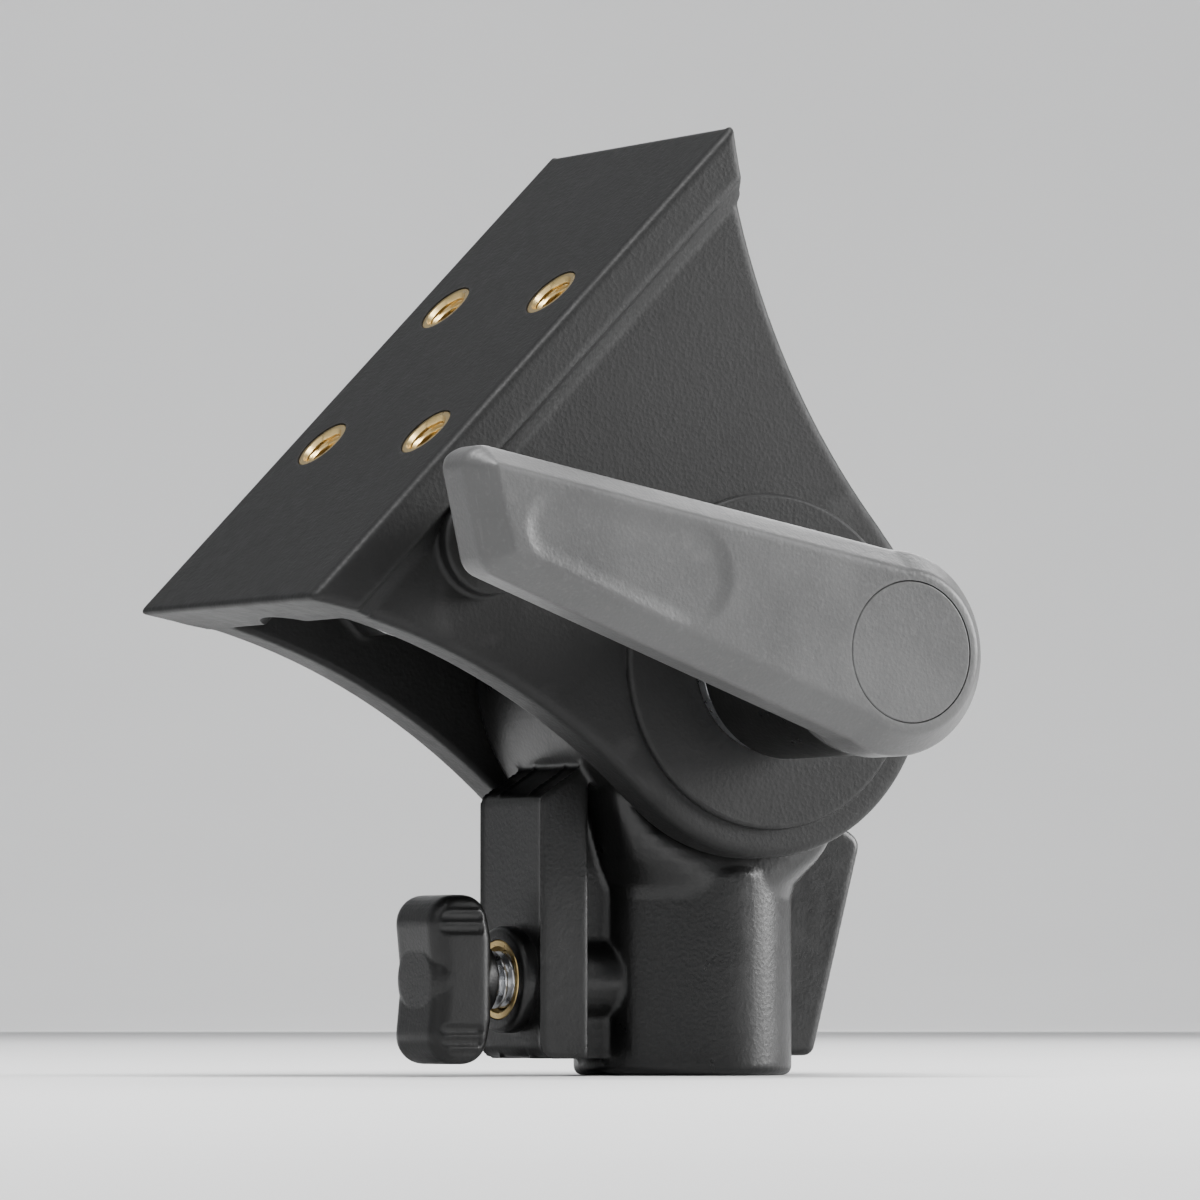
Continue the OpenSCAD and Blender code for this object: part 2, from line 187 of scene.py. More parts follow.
# ---------------------------------------------------------------- meshes
def build(name, vertices, faces, matrix):
    """A mesh object from points in millimetres in the matrix's frame."""
    mesh = bpy.data.meshes.new(name)
    mesh.from_pydata([matrix @ Vector(v) for v in vertices], [], faces)
    tidy = bmesh.new()
    tidy.from_mesh(mesh)
    bmesh.ops.remove_doubles(tidy, verts=tidy.verts, dist=1e-7)
    bmesh.ops.recalc_face_normals(tidy, faces=tidy.faces)
    tidy.to_mesh(mesh)
    tidy.free()
    piece = bpy.data.objects.new(name, mesh)
    bpy.context.scene.collection.objects.link(piece)
    return piece


def tube_faces(rows, sides, closed=False):
    """Quads between rows of points round an axis, and from the last row to the first if closed."""
    faces = []
    for i in range(rows if closed else rows - 1):
        a, b = i * sides, (i + 1) % rows * sides
        for k in range(sides):
            j = (k + 1) % sides
            faces.append((a + k, a + j, b + j, b + k))
    return faces


def loft(name, rings, matrix):
    """A closed solid through rings of (outline, height), all with the same number of points."""
    count = len(rings[0][0])
    vertices = [(x, y, z) for outline, z in rings for x, y in outline]
    faces = tube_faces(len(rings), count)
    faces.append(tuple(range(count))[::-1])
    faces.append(tuple((len(rings) - 1) * count + i for i in range(count)))
    return build(name, vertices, faces, matrix)


def convex(piece):
    """The piece's convex hull."""
    mesh = bmesh.new()
    for vertex in piece.data.vertices:
        mesh.verts.new(vertex.co)
    made = bmesh.ops.convex_hull(mesh, input=mesh.verts)
    inside = list({*made["geom_interior"], *made["geom_unused"]})
    bmesh.ops.delete(mesh, geom=inside, context="VERTS")
    bmesh.ops.recalc_face_normals(mesh, faces=mesh.faces)
    mesh.to_mesh(piece.data)
    mesh.free()
    return piece


def slab(name, outline, low, high, matrix, low_r, high_r, steps=5):
    """A plate with that outline and rounded edges."""
    levels = edge_levels(low, high, low_r, high_r, steps)
    return loft(name, [(inset(outline, draw), z) for z, draw in levels], matrix)


def turned(name, profile, matrix, sides=96):
    """A turned solid from a closed (radius, height) outline. A point on the axis is one vertex."""
    vertices, index = [], []
    for r, z in profile:
        if r < 1e-6:
            vertices.append((0, 0, z))
            index.append([len(vertices) - 1] * sides)
        else:
            index.append(list(range(len(vertices), len(vertices) + sides)))
            vertices += [(*polar(r, 360 * k / sides), z) for k in range(sides)]
    faces = []
    for level in range(len(profile)):
        low, high = index[level], index[(level + 1) % len(profile)]
        for i in range(sides):
            j = (i + 1) % sides
            corners = list(dict.fromkeys((low[i], low[j], high[j], high[i])))
            if len(corners) > 2:
                faces.append(corners)
    return build(name, vertices, faces, matrix)


def disc(name, low, high, r, matrix, low_r, high_r, sides=96):
    """A turned disc or pin with rounded edges."""
    profile = rounded([(0, low, 0), (r, low, low_r), (r, high, high_r), (0, high, 0)])
    return turned(name, profile, matrix, sides)


def ring(name, low, high, inner, outer, matrix, edge):
    """A turned ring with rounded edges."""
    corners = [(inner, low, edge), (outer, low, edge), (outer, high, edge), (inner, high, edge)]
    return turned(name, rounded(corners, 4), matrix)


def combine(piece, others, operation):
    """Joins the others to the piece, or cuts them out of it, and removes them."""
    for other in others:
        step = piece.modifiers.new("combine", "BOOLEAN")
        step.operation = operation
        step.object = other
        step.solver = "MANIFOLD"
    bake(piece)
    for other in others:
        bpy.data.objects.remove(other)
    weld(piece)
    return piece


def weld(piece):
    """Joins points that a Boolean leaves in one place, and drops the loose flaps this makes."""
    mesh = bmesh.new()
    mesh.from_mesh(piece.data)
    bmesh.ops.remove_doubles(mesh, verts=mesh.verts, dist=1e-7)
    while True:
        flaps = [face for face in mesh.faces if sum(edge.is_boundary for edge in face.edges) > 1]
        if not flaps:
            break
        bmesh.ops.delete(mesh, geom=flaps, context="FACES")
    mesh.to_mesh(piece.data)
    mesh.free()


def bake(piece):
    """Applies a piece's modifiers to its mesh."""
    bpy.context.view_layer.update()
    graph = bpy.context.evaluated_depsgraph_get()
    mesh = bpy.data.meshes.new_from_object(piece.evaluated_get(graph))
    piece.modifiers.clear()
    old = piece.data
    piece.data = mesh
    bpy.data.meshes.remove(old)
    mesh.name = piece.name


def moulded(piece, voxel, smooth, share):
    """Rounds every edge and inner corner a little, as a moulded part has them."""
    remesh = piece.modifiers.new("remesh", "REMESH")
    remesh.mode = "VOXEL"
    remesh.voxel_size = voxel * MM  # voxel is in millimetres
    remesh.adaptivity = 0
    soften = piece.modifiers.new("soften", "SMOOTH")
    soften.factor = 0.5
    soften.iterations = smooth
    bake(piece)
    thin = piece.modifiers.new("thin", "DECIMATE")
    thin.ratio = share
    bake(piece)
    piece.data.shade_smooth()
    return piece


def crisp(piece, degrees=35):
    """Smooth shading with sharp creases, and flat faces kept flat."""
    piece.data.shade_smooth()
    piece.data.set_sharp_from_angle(angle=math.radians(degrees))
    weighted = piece.modifiers.new("flat_faces", "WEIGHTED_NORMAL")
    weighted.keep_sharp = True
    return piece


# ---------------------------------------------------------------- sizes, in millimetres
fork_low, fork_high = span("head_fork", HEAD)
near_disc_low, near_disc_high = span("friction_disc_near", EYE)
washer_low, washer_high = span("lever_washer", HEAD)
cap_low, cap_high = span("bolt_cap", HEAD)
sleeve_low, sleeve_high = span("umbrella_sleeve", HEAD)
thumb_low, thumb_high = span("umbrella_screw", HEAD)
thread_low, thread_high = span("umbrella_insert", HEAD)
lever_low, lever_high = span("tilt_lever", LEVER)
lever_cap_low, lever_cap_high = span("lever_cap", LEVER)
knob_low, knob_high = span("lock_knob", LOCK)
lock_low, lock_high = span("lock_screw", LOCK)
insert_low, insert_high = span("lock_insert", LOCK)

CREASE = 50  # a moulded piece's edges that turn by more degrees than this stay sharp
ROOT = 1  # how deep a raised feature starts inside the face it stands on
THROUGH = 30  # far enough to cut through the fork or the eye from the pivot

# The fork: u runs along the flash, v up from the pivot, and z towards the lever.
CHEEK_IN = near_disc_high.z + 0.1
CHEEK_OUT = 16.6
CHEEK_R = 20.4
CHEEK_INNER_EDGE, CHEEK_OUTER_EDGE = 0.5, 1.1
PAD_V = fork_high.y
PAD_HALF = fork_high.x
PAD_T = 5
PAD_OUT = CHEEK_OUT + 1.6
PAD_CORNER = 1.1
PAD_TOP = [(PAD_HALF, PAD_V, PAD_CORNER), (-PAD_HALF, PAD_V, PAD_CORNER)]
PAD_EDGE = ((0, 0.7), (0.25, 0.25), (0.7, 0))  # distance in from the side, and inset
FLARE_FOOT = -4
FLARE_R = ((PAD_V - FLARE_FOOT) ** 2 + (PAD_HALF - CHEEK_R) ** 2) / (2 * (PAD_HALF - CHEEK_R))
BLOCK_BACK, CROTCH_V = -21, 24.2
BLOCK_BACK_R, BLOCK_FRONT_R = 1.6, 1.2
BLOCK_ROOT = 0.9
STEP_R, BOSS_R = 17.5, 11.5
COLLAR_R, COLLAR_FOOT_R = 5.4, 6.6
BOLT_HOLE_R = 4.1
CAP_GAP = 0.08
THUMB = HEAD.inverted() @ THUMB_POS
THUMB_FRAME = HEAD @ Matrix.Translation((THUMB.x, THUMB.y, 0))
THUMB_INSERT_R, THUMB_THREAD_R, THUMB_PITCH = 3.6, 2.55, 0.8
SHAFT_V = 32.5
SHAFT_REACH = 60
SLEEVE_R = 6
TUNNEL = HEAD @ axes((0, 1, 0), (0, 0, 1), (1, 0, 0), (0, SHAFT_V, 0))
INSERT_R, INSERT_LEN, INSERT_PITCH = 3.2, 6.5, 0.8
PAD_CIRCLE_R = MOUNTS["flash_pad_bolts"]["dims"]["pcd_mm"] / 2
PAD_HOLE_R = MOUNTS["flash_pad_bolts"]["dims"]["hole_r_mm"]
PAD_PLACES = [
    HEAD @ axes((0, 0, 1), (1, 0, 0), (0, 1, 0), (u, PAD_V, s))
    for u, s in (polar(PAD_CIRCLE_R, turn) for turn in range(45, 360, 90))
]

# The stand socket: x runs to the front, z up from the mouth, and y is its thickness.
EYE_HALF = near_disc_low.z
EYE_R = 19.5
EYE_HOLE_R = 6
BORE_R = MOUNTS["stand_socket"]["dims"]["r_mm"]
BORE_DEPTH = MOUNTS["stand_socket"]["dims"]["length_mm"]
MOUTH_CHAMFER = 0.7
TUBE_R, TUBE_H = 11.5, 21.8
NECK_FOOT, NECK_FULL, NECK_TOP = TUBE_H - 4.5, TUBE_H + 7, PIVOT.z / MM - 8
NECK_HALF, NECK_STEPS, NECK_SQUARE = 16, 14, 14
NECK_GAP = 0.02  # keeps the neck's faces off the tube's and the eye's
RIB_FOOT = 2
WEB_HALF, FLANGE_HALF, GUSSET_HALF = 3, 6.2, 1.75
FLANGE_X = 21.1
WEB_BACK, FLANGE_FRONT = 0.6 - FLANGE_X, 5.5 - FLANGE_X
LOCK_BOSS_R, LOCK_FACE_R = 4.9, 5.55
LOCK_HOLE_R, LOCK_THREAD_R, LOCK_PITCH, SHOE_HOLE_R = 4.2, 3.05, 1.0, 3.06

# The lever: x runs to its tip, and z is the height from the pivot's middle.
LEVER_FACE = lever_high.z
LEVER_T = 7.5
LEVER_BACK = LEVER_FACE - LEVER_T
LEVER_BACK_EDGE = 1.3
LEVER_BEVEL = ((3.0, 0), (2.6, 0.12), (0.3, 1.95), (0, 2.4))  # depth below the face, and inset
HUB_R = 10.5
HUB_SINK = 0.4
HUB_BEVEL = (2.8, 2.3)  # depth below the face, and how far it draws in
TIP = lever_high.x
TIP_HALF = 6
RECESS_NEAR, RECESS_FAR = 22.5, 47.0
RECESS_NEAR_R, RECESS_FAR_R = 5.0, 3.4
RECESS_WALL = ((-1.3, -0.28), (-0.3, -0.12), (0.5, 0.15))  # growth, and height from the face
SPRING_SEAT_Z, SPRING_HOLE_R = 33.4, 6.4
SCREW_HOLE_Z, SCREW_HOLE_R = 25, 2.9
CORE_HOLE = [(0, 10), (9, 10), (9, 21.45), (8.1, 21.9), (8.1, 31.7), (0, 31.7)]
SKIRT_BORE_R = 9


def bar(name, low, high, r, matrix, sides=96):
    """A plain round bar with sharp edges, mostly for cutting holes."""
    return turned(name, [(0, low), (r, low), (r, high), (0, high)], matrix, sides)


# ---------------------------------------------------------------- the fork
def flare_u(v):
    """Half-length of the fork at height v above the pivot."""
    return CHEEK_R + FLARE_R - math.sqrt(FLARE_R**2 - (v - FLARE_FOOT) ** 2)


def flare(low, high, steps, side):
    """Points along one flare, from low to high."""
    heights = [low + (high - low) * i / steps for i in range(steps + 1)]
    return [(side * flare_u(v), v, 0) for v in heights]


def upper_outline(foot, steps, lower=()):
    """The fork's outline from foot up to the pad's top, closed by the lower points."""
    right, left = flare(foot, PAD_V, steps, 1), flare(foot, PAD_V, steps, -1)
    return rounded([*right[:-1], *PAD_TOP, *left[-2::-1], *lower])


def cheek_boss(r, foot_r, high, foot_round, top_round):
    """Profile of a round boss that stands on a cheek, with its foot rounded out to foot_r."""
    base = CHEEK_OUT - ROOT
    return rounded([(0, base, 0), (foot_r, base, 0), (foot_r, CHEEK_OUT, 0.05),
                    (r, CHEEK_OUT, foot_round), (r, high, top_round), (0, high, 0)])


def make_pad():
    """The pad, whose lips slope out from the cheeks."""
    lip = PAD_OUT - CHEEK_OUT
    levels = [(depth - PAD_OUT, draw, 0) for depth, draw in PAD_EDGE]
    levels += [(-CHEEK_OUT, 0, lip), (CHEEK_OUT, 0, lip)]
    levels += [(PAD_OUT - depth, draw, 0) for depth, draw in PAD_EDGE[::-1]]
    foot = PAD_V - PAD_T
    rings = [(inset(upper_outline(foot - drop, 5), draw), z) for z, draw, drop in levels]
    return loft("pad", rings, HEAD)


def make_fork():
    outline = upper_outline(0, 22, [(*p, 0) for p in arc(CHEEK_R, 180, 360, 72)[1:-1]])
    near = slab("fork_moulding", outline, CHEEK_IN, CHEEK_OUT, HEAD,
                CHEEK_INNER_EDGE, CHEEK_OUTER_EDGE)
    far = slab("far_cheek", outline, -CHEEK_OUT, -CHEEK_IN, HEAD,
               CHEEK_OUTER_EDGE, CHEEK_INNER_EDGE)
    front = flare(CROTCH_V, PAD_V, 8, 1)
    front[0] = (*front[0][:2], BLOCK_FRONT_R)
    block_corners = [(BLOCK_BACK, CROTCH_V, BLOCK_BACK_R), *front[:-1], PAD_TOP[0],
                     (BLOCK_BACK, PAD_V, 0)]
    block_half = CHEEK_IN + BLOCK_ROOT
    block = slab("block", rounded(block_corners), -block_half, block_half, HEAD, 0.2, 0.2)
    pad = make_pad()
    step = disc("step", CHEEK_OUT - ROOT, washer_low.z, STEP_R, HEAD, 0.2, 0.5)
    boss_profile = cheek_boss(BOSS_R, BOSS_R + 1.5, -fork_low.z, 1.2, 1.0)
    boss = turned("boss", [(r, -z) for r, z in boss_profile], HEAD)
    collar_profile = cheek_boss(COLLAR_R, COLLAR_FOOT_R, thread_high.z, 0.9, 0.5)
    collar = turned("collar", collar_profile, THUMB_FRAME, 72)
    fork = moulded(combine(near, [far, block, pad], "UNION"), 0.3, 3, 0.16)
    combine(fork, [step, boss, collar], "UNION")
    cutters = [
        bar("bolt_hole", -THROUGH, THROUGH, BOLT_HOLE_R, HEAD, 64),
        bar("cap_recess", -THROUGH, cap_high.z, cap_high.x + CAP_GAP, HEAD),
        bar("tunnel", -SHAFT_REACH, SHAFT_REACH, SLEEVE_R, TUNNEL),
        bar("thumb_hole", 3, THROUGH, THUMB_INSERT_R, THUMB_FRAME, 64),
    ]
    cutters += [bar("insert_hole", -INSERT_LEN, 5, INSERT_R, place, 64) for place in PAD_PLACES]
    return crisp(combine(fork, cutters, "DIFFERENCE"), CREASE)


# ---------------------------------------------------------------- the stand socket
def neck_rings():
    """Outlines from the round tube up into the eye, wider and squarer as they rise."""
    rings = []
    for i in range(NECK_STEPS + 1):
        z = NECK_FOOT + (NECK_TOP - NECK_FOOT) * i / NECK_STEPS
        share = min(1, (z - NECK_FOOT) / (NECK_FULL - NECK_FOOT))
        share = share * share * (3 - 2 * share)
        spread = max(0, (z - TUBE_H + 2) / (NECK_TOP - TUBE_H + 2))
        half_x = TUBE_R + (NECK_HALF - TUBE_R) * spread
        half_y = TUBE_R + (EYE_HALF - TUBE_R) * share
        power = 2 + NECK_SQUARE * share * share
        rings.append((squircle(half_x - NECK_GAP, half_y - NECK_GAP, power), z))
    return rings


def make_socket():
    eye = disc("socket_moulding", -EYE_HALF, EYE_HALF, EYE_R, EYE, 0.5, 0.5, 144)
    neck = loft("neck", neck_rings(), STAND)
    web_corners = [(WEB_BACK, RIB_FOOT, 0), (WEB_BACK, 29.35, 0), (-13, 34, 1.5), (-4, 34, 0),
                   (-4, RIB_FOOT, 0)]
    web = slab("web", rounded(web_corners), -WEB_HALF, WEB_HALF, STAND_SIDE, 0.3, 0.3)
    flange_corners = [(-FLANGE_X, RIB_FOOT, 1.3), (-FLANGE_X, 29, 1.2), (FLANGE_FRONT, 32.4, 0.2),
                      (FLANGE_FRONT, RIB_FOOT, 0)]
    flange = slab("flange", rounded(flange_corners), -FLANGE_HALF, FLANGE_HALF, STAND_SIDE,
                  0.55, 0.55)
    gusset_corners = [(4, RIB_FOOT, 0), (15.6, RIB_FOOT, 1.2), (21.8, 25, 1.6), (12, 31, 0),
                      (4, 31, 0)]
    gusset = slab("gusset", rounded(gusset_corners), -GUSSET_HALF, GUSSET_HALF, STAND_SIDE,
                  0.7, 0.7)
    tube = disc("tube", 0, TUBE_H, TUBE_R, STAND, 0.9, 0.9)
    boss = bar("lock_boss", 4, insert_high.z - 0.6, LOCK_BOSS_R, LOCK, 72)
    joined = combine(eye, [neck, web, flange, gusset, tube, boss], "UNION")
    socket = moulded(joined, 0.3, 3, 0.18)
    face = disc("boss_face", FLANGE_X - 3, insert_high.z, LOCK_FACE_R, LOCK, 0.1, 0.6, 96)
    combine(socket, [face], "UNION")
    mouth_r = BORE_R + MOUTH_CHAMFER
    bore = [(0, -2, 0), (mouth_r, -2, 0), (mouth_r, 0, 0), (BORE_R, MOUTH_CHAMFER, 0),
            (BORE_R, BORE_DEPTH, 0.6), (0, BORE_DEPTH, 0)]
    cutters = [
        turned("bore", rounded(bore), STAND),
        bar("eye_hole", -THROUGH, THROUGH, EYE_HOLE_R, EYE, 72),
        bar("insert_hole", 13, 40, LOCK_HOLE_R, LOCK, 64),
        bar("shoe_hole", 4, 14, SHOE_HOLE_R, LOCK, 64),
    ]
    return crisp(combine(socket, cutters, "DIFFERENCE"), CREASE)


# ---------------------------------------------------------------- the lever
def arm_outline():
    root = HUB_R - 0.25
    corners = [(0, -root, 0), (TIP - 2, -TIP_HALF, 2.2), (TIP, 1.8 - TIP_HALF, 2),
               (TIP - 5.4, TIP_HALF, 2.4), (0, root, 0)]
    return rounded(corners, 6)


def recess_outline(grow):
    """The thumb recess in the arm's face, a rounded slot that narrows towards the tip."""
    near = arc(RECESS_NEAR_R + grow, 90, 270, 20, (RECESS_NEAR + RECESS_NEAR_R, 0))
    far = arc(RECESS_FAR_R + grow, -90, 90, 20, (RECESS_FAR - RECESS_FAR_R, 0))
    return near + far


def make_lever():
    outline = arm_outline()
    levels = edge_levels(LEVER_BACK, LEVER_FACE, LEVER_BACK_EDGE, 0, 7)[:8]
    levels += [(LEVER_FACE - depth, draw) for depth, draw in LEVER_BEVEL]
    arm = convex(loft("lever_moulding", [(inset(outline, d), z) for z, d in levels], LEVER))
    foot = LEVER_BACK - HUB_SINK
    depth, draw = HUB_BEVEL
    hub_profile = [(0, foot, 0), (HUB_R, foot, 0.4), (HUB_R, LEVER_FACE - depth, 0.8),
                   (HUB_R - draw, LEVER_FACE, 0.8), (0, LEVER_FACE, 0)]
    hub = turned("hub", rounded(hub_profile, 6), LEVER, 144)
    lever = combine(arm, [hub], "UNION")
    recess_rings = [(recess_outline(grow), LEVER_FACE + height) for grow, height in RECESS_WALL]
    recess = loft("recess", recess_rings, LEVER)
    moulded(combine(lever, [recess], "DIFFERENCE"), 0.28, 4, 0.2)
    hollows = [
        bar("cap_recess", lever_cap_low.z, LEVER_FACE + 2, lever_cap_high.x + 0.06, LEVER),
        bar("spring_hole", SPRING_SEAT_Z, LEVER_FACE, SPRING_HOLE_R, LEVER, 72),
        bar("screw_hole", SCREW_HOLE_Z, LEVER_FACE, SCREW_HOLE_R, LEVER, 64),
        turned("hub_hole", CORE_HOLE, LEVER, 96),
    ]
    return crisp(combine(lever, hollows, "DIFFERENCE"), CREASE)


def make_lever_skirt():
    """The foot of the lever's hub, below the grey arm; it is given the socket's black nylon."""
    top = LEVER_BACK - 0.42
    outer = HUB_R - 0.3
    profile = [(SKIRT_BORE_R, lever_low.z, 0.4), (outer, lever_low.z, 0.5), (outer, top - 1, 0.3),
               (HUB_R - 0.7, top - 0.7, 0.1), (HUB_R - 0.7, top, 0), (SKIRT_BORE_R, top, 0)]
    return crisp(turned("lever_skirt", rounded(profile, 5), LEVER, 120))


def make_lever_cap():
    low, high, r = lever_cap_low.z, lever_cap_high.z - 0.02, lever_cap_high.x
    return crisp(disc("lever_cover", low, high, r, LEVER, 0.3, 0.2))


# ---------------------------------------------------------------- knob, screws and small parts
def screw_radius(z, turn, low, high, r, pitch, depth):
    """Radius of a right-handed thread at height z and share turn of a full circle."""
    flank = abs(2 * ((z / pitch - turn) % 1) - 1)
    crest = min(1, max(0, flank * 1.5 - 0.22))
    fade = min(1, (z - low) / (0.8 * pitch), (high - z) / (0.8 * pitch))
    return r - depth + depth * crest * max(0, fade)


def threaded(name, low, high, r, pitch, depth, matrix, sides=40):
    """A threaded rod with its ends tapered."""
    steps = round((high - low) / pitch * 9)
    vertices = []
    for i in range(steps + 1):
        z = low + (high - low) * i / steps
        radii = [screw_radius(z, k / sides, low, high, r, pitch, depth) for k in range(sides)]
        vertices += [(*polar(radius, 360 * k / sides), z) for k, radius in enumerate(radii)]
    faces = [tuple(range(sides))[::-1], tuple(steps * sides + k for k in range(sides))]
    return build(name, vertices, faces + tube_faces(steps + 1, sides), matrix)


LOBE = 3.35  # radius of the wings' round ends
KNOB_WAIST = 4.3
KNOB_EDGE = 1.7
GRIP_R, GRIP_LEN, GRIP_OUT = 0.75, 5.2, 0.42
GRIP_START, GRIP_FIRST, GRIP_PITCH = 0.9, 5.2, 1.25


def knob_grips():
    """Cutters for the short grooves in the wings' faces."""
    groove = rounded([(0, 0, 0), (GRIP_R, 0, 0.7), (GRIP_R, GRIP_LEN, 0.7), (0, GRIP_LEN, 0)], 4)
    along_x = axes((0, 1, 0), (0, 0, 1), (1, 0, 0))
    cutters = []
    for wing in (-1, 1):
        for row in range(3):
            for face in (-1, 1):
                z = LOCK_Z / MM + wing * (GRIP_FIRST + GRIP_PITCH * row)
                centre = (GRIP_START - knob_high.z, face * (knob_high.x + GRIP_OUT), z)
                place = Matrix.Scale(MM, 4) @ Matrix.Translation(centre) @ along_x
                cutters.append(turned("grip", groove, place, 20))
    return cutters


def make_knob():
    start, end = knob_low.z, knob_high.z
    reach, half_t = knob_high.y, knob_high.x
    inner = end - 2 * LOBE
    neck = -start - 0.9
    side = [(-end, -reach, LOBE), (-inner, -reach, LOBE), (neck, -KNOB_WAIST, 1.6),
            (neck, KNOB_WAIST, 1.6), (-inner, reach, LOBE), (-end, reach, LOBE), (-end + 0.9, 0, 7)]
    wings = slab("knob_moulding", rounded(side, 8), -half_t, half_t,
                 side_frame(0, (0, 0, LOCK_Z)), KNOB_EDGE, KNOB_EDGE, 7)
    hub_profile = [(0, start, 0), (3.9, start, 0.5), (4.6, start + 3.2, 1), (4.6, end - 0.6, 1.5),
                   (0, end - 0.6, 0)]
    hub = turned("hub", rounded(hub_profile, 6), LOCK, 72)
    knob = combine(wings, [hub], "UNION")
    screw_profile = [(0, start - 2), (3.3, start - 2), (3.0, start + 0.6), (3.0, end - 2.4),
                     (0, end - 2.4)]
    cutters = [turned("screw_hole", screw_profile, LOCK, 64), *knob_grips()]
    combine(knob, cutters, "DIFFERENCE")
    return moulded(knob, 0.16, 3, 0.35)


def knurled_outline(r, depth, count):
    step = 360 / count
    ridge = ((1, 0), (0.35, 0.2), (0, 0.38), (0, 0.62), (0.35, 0.8))  # share of depth, and of step
    return [polar(r - low * depth, 360 * k / count + turn * step)
            for k in range(count) for low, turn in ridge]


def make_thumb_screw():
    high = thumb_high.z
    collar_low = high - 6.4
    head_low = collar_low + 1.1
    head_r = (thumb_high.x - thumb_low.x) / 2
    knurl = 0.42
    levels = [(head_low, 0.8, 0.0), (head_low + 0.5, 0.12, 0.25), (head_low + 0.9, 0, knurl),
              (high - 1.1, 0, knurl), (high - 0.7, 0.12, 0.25), (high - 0.15, 0.75, 0.0),
              (high, 1.1, 0.0)]
    rings = [(knurled_outline(head_r - draw, depth, 36), z) for z, draw, depth in levels]
    head = loft("thumb_screw", rings, THUMB_FRAME)
    dimple_profile = [(0, high - 0.45, 0), (3.0, high - 0.45, 0.3), (3.3, high + 1, 0),
                      (0, high + 1, 0)]
    dimple = turned("dimple", rounded(dimple_profile), THUMB_FRAME, 72)
    combine(head, [dimple], "DIFFERENCE")
    collar = disc("collar", collar_low, head_low + 0.6, 3.6, THUMB_FRAME, 0.3, 0.1, 72)
    rod = threaded("rod", thumb_low.z, collar_low + 0.4, 2.5, THUMB_PITCH, 0.42, THUMB_FRAME)
    combine(head, [collar, rod], "UNION")
    return crisp(head, 32)


def make_lock_screw():
    rod = threaded("lock_rod", lock_low.z, lock_high.z, lock_high.x, LOCK_PITCH, 0.52, LOCK, 48)
    return crisp(rod, 50)


def threaded_insert(name, low, high, outer, hole, pitch, matrix, sides=48):
    """A brass insert: a tube with a chamfered rim and a thread inside."""
    steps = round((high - low) / pitch * 8)
    rim = ((outer, low + 0.3), (outer, high - 0.15), (outer - 0.15, high), (hole + 0.45, high))
    rows = [[(r, z)] * sides for r, z in rim]
    crest = hole + 0.15
    for i in range(steps + 1):
        z = high - 0.4 - (high - 0.8 - low) * i / steps
        shares = [k / sides for k in range(sides)]
        rows.append([(2 * hole + 0.15 - screw_radius(z, share, low, high, crest, pitch, 0.35), z)
                     for share in shares])
    rows += [[(hole + 0.4, low)] * sides, [(outer - 0.3, low)] * sides]
    vertices = [(*polar(r, 360 * k / sides), z) for row in rows for k, (r, z) in enumerate(row)]
    return crisp(build(name, vertices, tube_faces(len(rows), sides, closed=True), matrix), 40)


def make_pad_inserts():
    """The four inserts as one piece, as they are one node."""
    made = [threaded_insert("pad_insert_set", -INSERT_LEN, -0.12, INSERT_R, PAD_HOLE_R,
                            INSERT_PITCH, place) for place in PAD_PLACES]
    joined = bmesh.new()
    for piece in made:
        joined.from_mesh(piece.data)
    joined.to_mesh(made[0].data)
    joined.free()
    for piece in made[1:]:
        bpy.data.objects.remove(piece)
    return made[0]


def make_sleeve():
    bore = MOUNTS["umbrella_tunnel"]["dims"]["r_mm"]
    low, high = sleeve_low.x, sleeve_high.x
    rim = (sleeve_high.z - sleeve_low.z) / 2
    profile = [(bore, low, 0.45), (rim, low, 0.5), (rim, low + 1.5, 0.2), (SLEEVE_R, low + 1.5, 0),
               (SLEEVE_R, high, 0.35), (bore, high, 0.5)]
    sleeve = turned("tunnel_sleeve", rounded(profile, 5), TUNNEL)
    side_hole = bar("side_hole", 0, 12, 2.56, THUMB_FRAME, 48)
    return crisp(combine(sleeve, [side_hole], "DIFFERENCE"))


def make_bolt_cap():
    low, high, r = cap_low.z, cap_high.z, cap_high.x
    profile = [(0, high, 0), (r, high, 0.1), (r, low, 0.55), (6.4, low, 0.3),
               (6.1, low + 0.28, 0.3), (0, low + 0.28, 0)]
    return crisp(turned("bolt_cover", rounded(profile, 5), HEAD))


def make_washer():
    low, high, outer = washer_low.z, washer_high.z, washer_high.x
    return crisp(ring("clamp_washer", low, high, BOLT_HOLE_R, outer, HEAD, 0.28))


def make_thumb_insert():
    return threaded_insert("thumb_insert", thread_low.z, thread_high.z, THUMB_INSERT_R,
                           THUMB_THREAD_R, THUMB_PITCH, THUMB_FRAME)


def make_lock_insert():
    return threaded_insert("lock_thread", insert_low.z, insert_high.z, insert_high.x,
                           LOCK_THREAD_R, LOCK_PITCH, LOCK)


def make_spring():
    """The coil behind the lever's retaining screw, with closed ends."""
    low, high = (abs(y) / MM for y in (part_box("lever_spring")[1].y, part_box("lever_spring")[0].y))
    coil_r, wire, turns, sides, steps = 3.9, 0.34, 4.2, 10, 30
    end_share, rise_share = 0.12, 0.76  # of the wire lies flat at each end, and rises between
    count = round(turns * steps)
    vertices = []
    for i in range(count + 1):
        share = i / count
        lift = min(1, max(0, (share - end_share) / rise_share))
        z = low + wire + (high - low - 2 * wire) * lift
        for k in range(sides):
            x, up = polar(wire, 360 * k / sides)
            vertices.append((*polar(coil_r + x, 360 * turns * share), z + up))
    faces = [tuple(range(sides)), tuple(count * sides + k for k in range(sides))[::-1]]
    return crisp(build("return_coil", vertices, faces + tube_faces(count + 1, sides), LEVER), 40)


